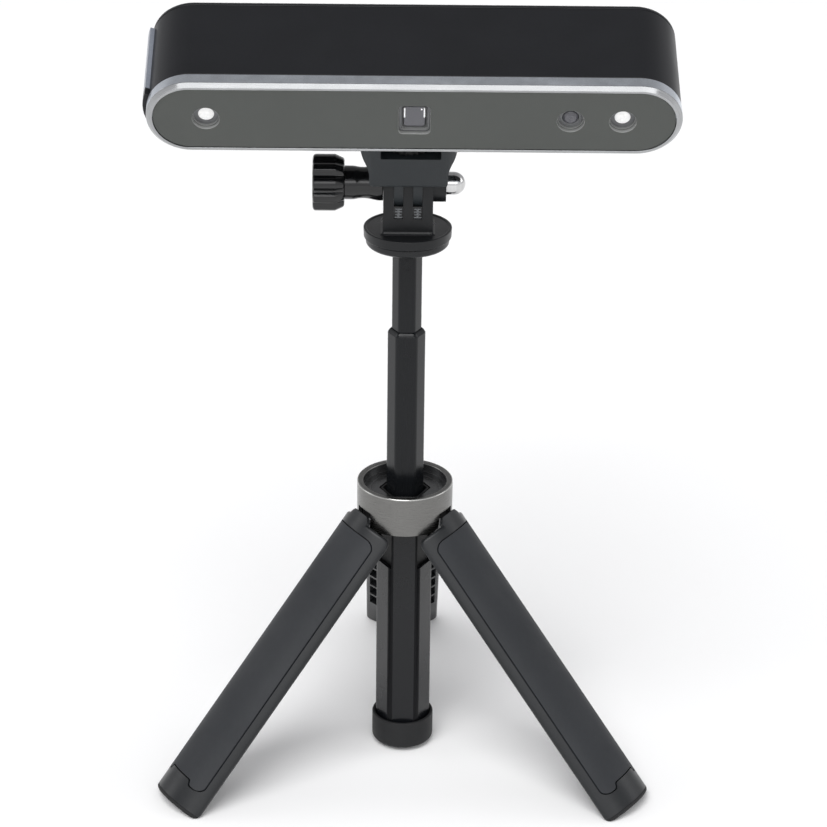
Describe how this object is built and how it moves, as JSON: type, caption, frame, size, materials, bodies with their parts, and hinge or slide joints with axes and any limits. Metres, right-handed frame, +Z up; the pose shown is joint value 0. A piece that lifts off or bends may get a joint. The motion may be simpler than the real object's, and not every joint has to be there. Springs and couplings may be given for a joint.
{
  "type": "handheld 3d scanner",
  "caption": "Bar-shaped stereo scanner with round ends, tilting and panning on a long clamp knob joint, over a telescopic pole and a mini tripod whose legs fold closed into a handle.",
  "frame": {"origin": "centre of the flat underside of the centre column's end cap, on the column's axis, 1 mm above the floor that the three feet stand on", "axes": "+Z up along the column and pole, the scanner's window looks along -Y (tilted 21.5 degrees down), +X to the right for someone facing the window"},
  "size_m": [0.1565, 0.1384, 0.2502],
  "materials": {
    "shell": "satin black moulding",
    "bezel": "satin with a bright cut chamfer",
    "window": "grey tinted, mirror-like",
    "lens": "dark coated glass",
    "light": "translucent light guide",
    "barrel": "black moulding",
    "bar": "milled, bead blasted",
    "board": "green circuit board",
    "steel": "turned",
    "brass": "turned, knurled",
    "mount": "fine grain dark grey moulding",
    "wheel": "black anodised, knurled",
    "rubber": "matt dark grey",
    "prongs": "satin black moulding",
    "knob": "gloss black moulding",
    "chrome": "polished",
    "pole": "dark anodised satin",
    "collar": "turned and brushed, warm grey anodised",
    "lip": "bright bevelled lip",
    "hub": "black moulding",
    "column": "dark satin coat",
    "leg": "dark grey satin moulding",
    "grip": "soft dark grey grip"
  },
  "bodies": {
    "base": {"column_cap": "rubber", "column_tube": "column", "leg_hub": "hub", "collar_ring": "collar", "column_bush": "lip", "leg_pin_left": "steel", "leg_pin_right": "steel", "leg_pin_rear": "steel"},
    "leg_left": {"leg_shell_left": "leg", "leg_pad_left": "grip", "leg_foot_left": "rubber"},
    "leg_right": {"leg_shell_right": "leg", "leg_pad_right": "grip", "leg_foot_right": "rubber"},
    "leg_rear": {"leg_shell_rear": "leg", "leg_pad_rear": "grip", "leg_foot_rear": "rubber"},
    "lower_mast": {"lower_pole": "pole", "lower_pole_bush": "barrel"},
    "upper_mast": {"upper_pole": "pole", "upper_pole_plug": "barrel", "pole_head": "pole", "head_stud": "steel"},
    "swivel": {"prong_base": "prongs", "acorn_nut": "chrome"},
    "clamp_screw": {"clamp_knob": "knob", "clamp_bolt": "steel"},
    "head": {"mount_body": "mount", "mount_pad": "rubber", "head_shell": "shell", "front_bezel": "bezel", "front_window": "window", "rear_cover": "shell", "sensor_bar": "bar", "ir_camera_left": "barrel", "ir_camera_right": "barrel", "colour_camera": "barrel", "ir_lens_left": "lens", "ir_lens_right": "lens", "colour_lens": "lens", "projector_body": "barrel", "projector_lens": "lens", "main_board": "board", "usb_socket": "steel", "status_light": "light", "tripod_insert": "brass", "cover_screw_1": "steel", "cover_screw_2": "steel", "cover_screw_3": "steel", "cover_screw_4": "steel"},
    "thumbwheel": {"mount_wheel": "wheel", "mount_screw": "steel"},
    "button": {"scan_button": "barrel"}
  },
  "joints": [
    {"name": "leg_left_fold", "type": "hinge", "parent": "base", "child": "leg_left", "pos_m": [-0.00901, -0.0052, 0.0851], "axis": [0.5, -0.866, 0], "range_deg": [0, 40.7]},
    {"name": "leg_right_fold", "type": "hinge", "parent": "base", "child": "leg_right", "pos_m": [0.00901, -0.0052, 0.0851], "axis": [0.5, 0.866, 0], "range_deg": [0, 40.7]},
    {"name": "leg_rear_fold", "type": "hinge", "parent": "base", "child": "leg_rear", "pos_m": [0, 0.0104, 0.0851], "axis": [-1, 0, 0], "range_deg": [0, 40.7]},
    {"name": "lower_pole_slide", "type": "slide", "parent": "base", "child": "lower_mast", "axis": [0, 0, -1], "range_m": [0, 0.0545]},
    {"name": "upper_pole_slide", "type": "slide", "parent": "lower_mast", "child": "upper_mast", "axis": [0, 0, -1], "range_m": [0, 0.0273]},
    {"name": "head_pan", "type": "hinge", "parent": "upper_mast", "child": "swivel", "pos_m": [0, 0, 0.178], "axis": [0, 0, 1], "continuous": true},
    {"name": "head_tilt", "type": "hinge", "parent": "swivel", "child": "head", "pos_m": [0, 0, 0.1925], "axis": [1, 0, 0], "range_deg": [-110, 68]},
    {"name": "clamp_turn", "type": "hinge", "parent": "swivel", "child": "clamp_screw", "pos_m": [0, 0, 0.1925], "axis": [1, 0, 0], "continuous": true},
    {"name": "wheel_turn", "type": "hinge", "parent": "head", "child": "thumbwheel", "pos_m": [0, 0, 0.1925], "axis": [0, -0.3665, 0.9304], "continuous": true},
    {"name": "button_press", "type": "slide", "parent": "head", "child": "button", "axis": [0, -0.9304, -0.3665], "range_m": [0, 0.0005], "stiffness_N_per_m": 800}
  ]
}
